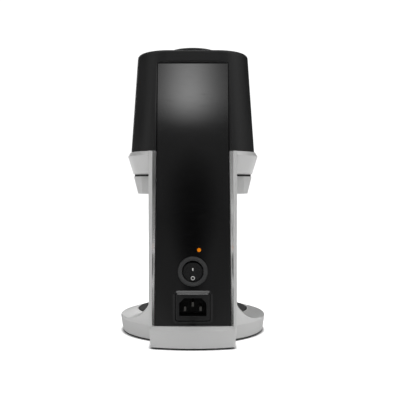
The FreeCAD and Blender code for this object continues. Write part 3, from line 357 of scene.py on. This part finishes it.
def make_materials():
    """One material for each slot of the record."""
    return {
        "silver_paint": silver_paint(),
        "hood_black": hood_black(),
        "panel_gloss": panel_gloss(),
        "mat_rubber": speckled_rubber(),
        "foot_rubber": finish_of("foot_rubber", (0.018, 0.018, 0.018), 0.78, grain_mm=0.4,
                                 grain_depth_mm=0.03),
        "pad_black": finish_of("pad_black", (0.014, 0.014, 0.015), 0.5, grain_mm=0.25, wear=0.5,
                               wear_colour=(0.05, 0.05, 0.05)),
        "polished_steel": turned_metal("polished_steel", (0.62, 0.61, 0.59), 0.20, AXIS),
        "machined_steel": turned_metal("machined_steel", (0.42, 0.42, 0.42), 0.34, AXIS, ring_mm=0.5),
        "zinc_screws": brushed_metal("zinc_screws", (0.52, 0.52, 0.50), 0.32, (1, 1, 1), 0.4),
        "black_steel": finish_of("black_steel", (0.015, 0.015, 0.016), 0.55, grain_mm=0.35,
                                 grain_depth_mm=0.02, wear=0.3, wear_colour=(0.12, 0.12, 0.12)),
        "plate_aluminium": brushed_metal("plate_aluminium", (0.62, 0.63, 0.64), 0.33, (0.05, 1, 1)),
        "bronze": turned_metal("bronze", (0.66, 0.43, 0.17), 0.28, AXIS, ring_mm=0.4),
        "dial_metal": turned_metal("dial_metal", (0.040, 0.040, 0.041), 0.38, AXIS, ring_mm=0.3),
        "dial_gloss": finish_of("dial_gloss", (0.006, 0.006, 0.0065), 0.13, grain_mm=2.5,
                                grain_depth_mm=0.001),
        "display_glass": smoked_glass(),
        "display_dark": finish_of("display_dark", (0.006, 0.006, 0.007), 0.4, grain_mm=0.6),
        "board_green": circuit_board(),
        "component_black": finish_of("component_black", (0.016, 0.016, 0.017), 0.5, grain_mm=0.5,
                                     grain_depth_mm=0.02),
        "heatsink": brushed_metal("heatsink", (0.55, 0.55, 0.56), 0.38, (1, 1, 0.06)),
        "motor_steel": brushed_metal("motor_steel", (0.44, 0.44, 0.45), 0.30, (1, 1, 0.05)),
        "switch_black": finish_of("switch_black", (0.035, 0.0355, 0.036), 0.30, grain_mm=0.3,
                                  grain_depth_mm=0.006),
        "rocker_black": finish_of("rocker_black", (0.006, 0.006, 0.0065), 0.27, grain_mm=0.35,
                                  grain_depth_mm=0.008),
        "inlet_black": finish_of("inlet_black", (0.012, 0.0122, 0.0126), 0.14, grain_mm=0.3,
                                 grain_depth_mm=0.0015, rough_spread=0.03),
        # Much darker than bare nickel: painted dark reflection, for pins that sit in the socket's
        # hollow.
        "nickel_pins": brushed_metal("nickel_pins", (0.16, 0.156, 0.148), 0.24, (1, 0.08, 1)),
        "lamp_orange": orange_lens(),
        "lead_insulation": finish_of("lead_insulation", (0.02, 0.05, 0.22), 0.45, grain_mm=0.8),
    }


MATERIALS = make_materials()


def paint_frame():
    """Gives each CAD node its slot's material, and smooth shading between its sharp edges."""
    slot_of = {part["node"]: part["material_slot"] for part in frame["record"]["subparts"]}
    for name, piece in NODES.items():
        piece.data.materials.clear()
        piece.data.materials.append(MATERIALS[slot_of[name]])
        smooth(piece)
    paint_faces(NODES["body_casting"], silver_bevel(), on_recess_bevel)
    paint_faces(NODES["hood"], hood_bevel(), on_recess_bevel)
    # The socket's inside gets a darker black: painted shade in its hollow.
    paint_faces(NODES["inlet_housing"], socket_painted_shade(), in_socket)


def paint_faces(piece, material, wanted):
    """Gives the faces that pass the test a second finish."""
    piece.data.materials.append(material)
    for face in piece.data.polygons:
        if wanted(face.center, face.normal):
            face.material_index = 1


BEVEL_REACH = 4.0 * MM
PANEL_MARGIN = 0.6 * MM
SOCKET_MARGIN = 0.7 * MM
SLANT = 0.3
BACK_SLANT = (0.25, 0.97)


def on_recess_bevel(centre, normal):
    """True on the slanting faces round the rear panel, which face inwards and back."""
    edge_x = abs(centre.x) - PANEL_HIGH.x
    beside = abs(edge_x) < BEVEL_REACH and abs(normal.x) > SLANT and centre.x * normal.x < 0.0
    above = centre.z > PANEL_HIGH.z - MM and edge_x < BEVEL_REACH and normal.z < -SLANT
    behind = centre.y > PANEL_FACE_Y - PANEL_MARGIN and centre.z > PANEL_LOW.z
    return behind and (beside or above) and BACK_SLANT[0] < normal.y < BACK_SLANT[1]


def in_socket(centre, normal):
    """True on the inlet's inner walls and floor, which get the painted shade."""
    wall = centre.y < PANEL_FACE_Y + SOCKET_MARGIN and abs(normal.y) < 0.2
    return wall or centre.y < PANEL_FACE_Y - MM


def smooth(piece, angle=32.0):
    bpy.ops.object.select_all(action="DESELECT")
    bpy.context.view_layer.objects.active = piece
    piece.select_set(True)
    bpy.ops.object.shade_smooth_by_angle(angle=math.radians(angle))
    piece.select_set(False)


# --- pieces made here ---

BEHIND_EVERYTHING = 0.5
INK_DEPTH = 0.03 * MM
ON_ABOVE_MIDDLE, OFF_BELOW_MIDDLE = 1.8 * MM, 6.2 * MM
BAR_WIDTH, BAR_HEIGHT = 1.0 * MM, 2.8 * MM
RING_OUTER, RING_INNER = 1.8 * MM, 1.15 * MM


def new_piece(name, mesh, material, body):
    piece = bpy.data.objects.new(name, mesh)
    SCENE.collection.objects.link(piece)
    piece.data.materials.append(material)
    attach(piece, body)


def white_ink():
    return finish_of("white_ink", (0.78, 0.78, 0.76), 0.5, grain_mm=0.3, grain_depth_mm=0.004,
                     shade=0.05, soften_mm=0.0)


def surface_frame(node, x, z):
    """Where a line along -Y at (x, z) meets a node, as a matrix whose Z axis stands on the surface."""
    piece = NODES[node]
    hit, point, normal, _ = piece.ray_cast(Vector((x, BEHIND_EVERYTHING, z)), Vector((0, -1, 0)))
    if not hit:
        raise RuntimeError("nothing of " + node + " at that place")
    across = Vector((-1, 0, 0))
    up = normal.cross(across).normalized()
    matrix = Matrix((across, up, normal)).transposed().to_4x4()
    matrix.translation = point
    return matrix


def printed_mark(name, ink, outer, inner, matrix, body):
    """Thin ink between two outlines, or filling one, laid on a surface."""
    mesh = bmesh.new()
    lower = [mesh.verts.new((x, y, 0.0)) for x, y in outer]
    upper = [mesh.verts.new((x, y, INK_DEPTH)) for x, y in outer]
    count = len(outer)
    if inner:
        lower_in = [mesh.verts.new((x, y, 0.0)) for x, y in inner]
        upper_in = [mesh.verts.new((x, y, INK_DEPTH)) for x, y in inner]
    for k in range(count):
        j = (k + 1) % count
        mesh.faces.new((lower[k], lower[j], upper[j], upper[k]))
        if inner:
            mesh.faces.new((upper[k], upper[j], upper_in[j], upper_in[k]))
            mesh.faces.new((lower_in[k], upper_in[k], upper_in[j], lower_in[j]))
    if not inner:
        mesh.faces.new(upper)
    mesh.normal_update()
    mesh.transform(matrix)
    data = bpy.data.meshes.new(name)
    mesh.to_mesh(data)
    mesh.free()
    new_piece(name, data, ink, body)


def ring_points(radius, count=40):
    turns = [2 * math.pi * k / count for k in range(count)]
    return [(radius * math.cos(turn), radius * math.sin(turn)) for turn in turns]


def bar_points(width, height, count=12):
    """A bar with round ends."""
    r = width / 2
    top = [(r * math.cos(math.pi * k / count), height / 2 - r + r * math.sin(math.pi * k / count))
           for k in range(count + 1)]
    return top + [(-x, -y) for x, y in top]


def rocker_marks():
    """The generic on and off marks: a bar above the middle and a ring below it."""
    ink = white_ink()
    middle = (BEZEL_LOW.z + BEZEL_HIGH.z) / 2
    on = surface_frame("switch_rocker", 0.0, middle + ON_ABOVE_MIDDLE)
    off = surface_frame("switch_rocker", 0.0, middle - OFF_BELOW_MIDDLE)
    printed_mark("mark_on", ink, bar_points(BAR_WIDTH, BAR_HEIGHT), None, on, "rocker")
    printed_mark("mark_off", ink, ring_points(RING_OUTER), ring_points(RING_INNER), off, "rocker")


# --- camera, floor and light ---

PHOTO_DISTANCE = 0.560
CAMERA_HEIGHT = 0.136
FOCAL_LENGTH = 57.0
SENSOR_WIDTH = 36.0
SHIFT_RIGHT = 0.018
SHIFT_UP = -0.0075


def make_camera():
    data = bpy.data.cameras.new("photo_camera")
    data.lens = FOCAL_LENGTH
    data.sensor_width = SENSOR_WIDTH
    data.shift_x = SHIFT_RIGHT
    data.shift_y = SHIFT_UP
    camera = bpy.data.objects.new("photo_camera", data)
    camera.location = (0.0, CAD_BOX[1].y + PHOTO_DISTANCE, CAMERA_HEIGHT)
    camera.rotation_euler = (math.pi / 2, 0.0, math.pi)
    SCENE.collection.objects.link(camera)
    SCENE.camera = camera


DEGREES = 180.0 / math.pi

# The studio's angles are in degrees: azimuth from the +Y axis, positive towards +X, and elevation from
# the horizon. Left and right are as the camera sees them. A name that ends in SPAN holds the two values
# between which something rises or fades.

# A dark card behind the camera, a little lighter away from its middle.
CARD_DARK = 0.05
CARD_CURVE, CARD_RISE = 0.035, 0.011
CARD_SIDE_SPAN = (34.0, 60.0)
CARD_LIT_SPAN = (6.0, 12.0)

# The floor: how bright it is to the camera, to diffuse rays and in reflections.
FLOOR_HALF = 6.0
FLOOR_GLOW = 0.95
FLOOR_BOUNCE = 0.43
FLOOR_MIRRORED = 0.70
FLOOR_OPEN_SPAN = (6.0, 14.0)
FLOOR_FAR_SPAN, FLOOR_FAR = (0.25, 1.2), 0.12
FLOOR_CARD_GAIN, FLOOR_CARD_MOST = 1.8, 0.50
# How far the painted contact shadow on the floor reaches, and how sharply it fades.
CONTACT_REACH, CONTACT_POWER = 4.0 * MM, 2.5

# Extra brightness of the floor beside the object, only in reflections and only at a low angle.
BESIDE_NEAR, BESIDE_LEFT, BESIDE_RIGHT = 1.45, 0.80, 0.0
BESIDE_SIDE_SPAN = (60.0, 76.0)
BESIDE_START_SPAN = (0.12, 0.22)
BESIDE_LEFT_SPAN = (0.25, 1.0)
BESIDE_RIGHT_SPAN = (-1.8, -0.25)
SHEEN_SPAN = (0.73, 0.84)


def floor_material():
    """Paper that shows white to the camera, and a quieter grey in reflections, with a painted contact
    shadow close round the object.
    """
    n = Finish("floor_paper")
    path = n.add("ShaderNodeLightPath")
    glossy = path.outputs["Is Glossy Ray"]
    paper = n.mix(n.noise(80.0), (0.90, 0.90, 0.90), (0.93, 0.93, 0.93))
    # A painted contact shadow: ambient occlusion darkens the paper and its glow near the object.
    contact = n.add("ShaderNodeAmbientOcclusion", samples=8)
    contact.inputs["Distance"].default_value = CONTACT_REACH
    open_sky = n.math("POWER", contact.outputs["AO"], CONTACT_POWER)
    shaded = n.mix(open_sky, (0.02, 0.02, 0.02), paper)

    x, y, _ = n.split(n.position)
    away = n.math("SUBTRACT", y, PANEL_FACE_Y)
    side = n.math("ABSOLUTE", n.product(n.math("ARCTAN2", x, away), DEGREES), 0.0)
    far = n.remap(away, *FLOOR_FAR_SPAN, FLOOR_FAR, 0.0)
    card = n.total(n.product(side, side, FLOOR_CARD_GAIN * CARD_CURVE), far)
    card = n.math("MINIMUM", card, FLOOR_CARD_MOST)
    open_floor = n.remap(side, *FLOOR_OPEN_SPAN, 0.0, 1.0)
    mirrored = n.total(n.product(card, n.rest_of(open_floor)), n.product(open_floor, FLOOR_MIRRORED))
    grey = n.add("ShaderNodeCombineColor")
    for socket in grey.inputs:
        n.link(mirrored, socket)

    reach = n.math("MINIMUM", n.remap(x, *BESIDE_RIGHT_SPAN, BESIDE_RIGHT, BESIDE_NEAR),
                   n.remap(x, *BESIDE_LEFT_SPAN, BESIDE_NEAR, BESIDE_LEFT))
    start = n.remap(n.math("ABSOLUTE", x, 0.0), *BESIDE_START_SPAN, 0.0, 1.0)
    facing = n.add("ShaderNodeLayerWeight").outputs["Facing"]
    sheen = n.remap(facing, *SHEEN_SPAN, 0.0, 1.0)
    beside = n.product(n.remap(side, *BESIDE_SIDE_SPAN, 0.0, 1.0), reach, start, sheen, glossy)

    glow = n.total(n.product(path.outputs["Is Camera Ray"], FLOOR_GLOW),
                   n.product(path.outputs["Is Diffuse Ray"], FLOOR_BOUNCE), beside)
    n.vary(Base_Color=n.mix(glossy, shaded, grey.outputs[0]), Emission_Color=paper,
           Emission_Strength=n.product(open_sky, glow))
    n.constant(Roughness=0.9, Specular_IOR_Level=0.0)
    return n.material


def make_floor():
    mesh = bpy.data.meshes.new("floor")
    corners = [(sx * FLOOR_HALF, sy * FLOOR_HALF, 0) for sx, sy in ((-1, -1), (1, -1), (1, 1), (-1, 1))]
    mesh.from_pydata(corners, [], [(0, 1, 2, 3)])
    floor = bpy.data.objects.new("floor", mesh)
    mesh.materials.append(floor_material())
    SCENE.collection.objects.link(floor)


# What the camera sees behind the floor.
BACKDROP = 1.1

# Even light all round, two tall strips, a fill on the right that starts above the low flag, and a fill
# near the floor on the left.
AMBIENT_SPAN, AMBIENT_LOW, AMBIENT_HIGH = (-5.0, 60.0), 0.25, 0.20
STRIP_SIDE, STRIP_WIDTH, STRIP = 62.0, 18.0, 0.90
RIGHT_FILL_SIDE, RIGHT_FILL_WIDTH, RIGHT_FILL = -84.0, 22.0, 0.42
RIGHT_FILL_SPAN = (5.0, 8.0)
LEFT_FILL_SIDE, LEFT_FILL_WIDTH, LEFT_FILL = 102.0, 16.0, 0.90
LEFT_FILL_SPAN = (-1.0, 6.0)

# Black flags: one on each side that darkens the outline and is weaker towards its foot, and one low on
# the right.
FLAG_DEPTH, FLAG_TOP_SPAN = 0.88, (14.0, 32.0)
LEFT_FLAG_SPAN, LEFT_FLAG_FOOT, LEFT_FLAG_FOOT_SPAN = (58.0, 86.0), 0.68, (3.5, 6.5)
RIGHT_FLAG_SPAN, RIGHT_FLAG_FOOT, RIGHT_FLAG_FOOT_SPAN = (-90.0, -120.0), 0.3, (-2.0, 5.0)
LOW_FLAG_SIDE, LOW_FLAG_WIDTH, LOW_FLAG_DEPTH, LOW_FLAG_SPAN = -86.0, 16.0, 0.97, (6.0, 8.5)

# A softbox above the card, with a bright core, and a small light higher up.
BOX_RISE_SPAN, BOX_FADE_SPAN = (6.4, 8.9), (9.0, 19.0)
BOX_CORE, BOX_CORE_WIDTH, BOX_CORE_SIDE = 5.4, 2.15, 0.35
BOX_WIDE, BOX_WIDE_WIDTH = 0.52, 24.0
HAIR, HAIR_HEIGHT, HAIR_TALL, HAIR_WIDTH = 5.0, 28.0, 3.0, 8.0


def ambient_level(n, azimuth, elevation, side):
    """The even light, the strips and the fills, less what the flags take away."""
    strips = n.product(n.bell(side, STRIP_SIDE, STRIP_WIDTH), STRIP)
    right = n.product(n.bell(azimuth, RIGHT_FILL_SIDE, RIGHT_FILL_WIDTH),
                      n.remap(elevation, *RIGHT_FILL_SPAN, 0.0, RIGHT_FILL))
    left = n.product(n.bell(azimuth, LEFT_FILL_SIDE, LEFT_FILL_WIDTH),
                     n.remap(elevation, *LEFT_FILL_SPAN, LEFT_FILL, 0.0))
    light = n.total(n.remap(elevation, *AMBIENT_SPAN, AMBIENT_LOW, AMBIENT_HIGH), strips, right, left)

    flag_top = n.remap(elevation, *FLAG_TOP_SPAN, 1.0, 0.0)
    left_flag = n.product(flag_top, n.remap(elevation, *LEFT_FLAG_FOOT_SPAN, LEFT_FLAG_FOOT, 1.0),
                          n.remap(azimuth, *LEFT_FLAG_SPAN, 0.0, FLAG_DEPTH))
    right_flag = n.product(flag_top, n.remap(elevation, *RIGHT_FLAG_FOOT_SPAN, RIGHT_FLAG_FOOT, 1.0),
                           n.remap(azimuth, *RIGHT_FLAG_SPAN, 0.0, FLAG_DEPTH))
    low_flag = n.product(n.bell(azimuth, LOW_FLAG_SIDE, LOW_FLAG_WIDTH),
                         n.remap(elevation, *LOW_FLAG_SPAN, LOW_FLAG_DEPTH, 0.0))
    flags = n.math("MAXIMUM", n.math("MAXIMUM", left_flag, low_flag), right_flag)
    return n.product(light, n.rest_of(flags))


def make_world():
    """Studio light for the object and its reflections, and a plain backdrop for the camera."""
    world = bpy.data.worlds.new("studio")
    SCENE.world = world
    world.use_nodes = True
    n = Nodes(world.node_tree)
    n.tree.nodes.clear()
    x, y, z = n.split(n.add("ShaderNodeTexCoord").outputs["Generated"])
    azimuth = n.product(n.math("ARCTAN2", x, y), DEGREES)
    elevation = n.product(n.math("ARCSINE", z, 0.0), DEGREES)
    side = n.math("ABSOLUTE", azimuth, 0.0)

    above = n.remap(elevation, *BOX_RISE_SPAN, 0.0, 1.0)
    card = n.product(n.rest_of(above), n.remap(side, *CARD_SIDE_SPAN, 1.0, 0.0))
    raised = n.math("MAXIMUM", elevation, 0.0)
    bowl = n.total(n.product(side, side, CARD_CURVE), n.product(raised, raised, CARD_RISE))
    bowl = n.product(n.math("MINIMUM", bowl, AMBIENT_LOW), n.remap(side, *CARD_LIT_SPAN, 1.0, 0.0))
    around = n.product(ambient_level(n, azimuth, elevation, side),
                       n.rest_of(n.product(card, 1.0 - CARD_DARK)))

    core = n.product(n.bell(azimuth, BOX_CORE_SIDE, BOX_CORE_WIDTH), BOX_CORE)
    wide = n.product(n.bell(azimuth, 0.0, BOX_WIDE_WIDTH), BOX_WIDE)
    softbox = n.product(above, n.remap(elevation, *BOX_FADE_SPAN, 1.0, 0.0), n.total(core, wide))
    hair = n.product(n.bell(elevation, HAIR_HEIGHT, HAIR_TALL), n.bell(azimuth, 0.0, HAIR_WIDTH), HAIR)

    level = n.total(around, n.product(card, bowl), softbox, hair)
    seen = n.add("ShaderNodeLightPath").outputs["Is Camera Ray"]
    shown = n.total(n.product(level, n.rest_of(seen)), n.product(seen, BACKDROP))
    back = n.add("ShaderNodeBackground")
    back.inputs["Color"].default_value = (1.0, 1.0, 1.0, 1.0)
    n.link(shown, back.inputs["Strength"])
    out = n.add("ShaderNodeOutputWorld")
    n.link(back.outputs[0], out.inputs["Surface"])


def area_light(name, location, target, size, power):
    data = bpy.data.lights.new(name, "AREA")
    data.shape = "RECTANGLE"
    data.size, data.size_y = size
    data.energy = power
    light = bpy.data.objects.new(name, data)
    light.location = location
    aim = Vector(target) - Vector(location)
    light.rotation_euler = aim.to_track_quat("-Z", "Y").to_euler()
    SCENE.collection.objects.link(light)


def make_lights():
    """Soft lights from above and from the front."""
    middle = (0.0, 0.0, 0.14)
    area_light("top", location=(0.0, -0.1, 1.6), target=middle, size=(1.2, 1.2), power=3.0)
    area_light("front", location=(0.3, -1.5, 0.8), target=middle, size=(1.0, 0.8), power=5.0)


def settings():
    SCENE.view_settings.view_transform = "Standard"
    SCENE.view_settings.look = "None"
    SCENE.view_settings.exposure = 0.0


paint_frame()
rocker_marks()
make_camera()
make_floor()
make_world()
make_lights()
settings()

bpy.context.view_layer.update()
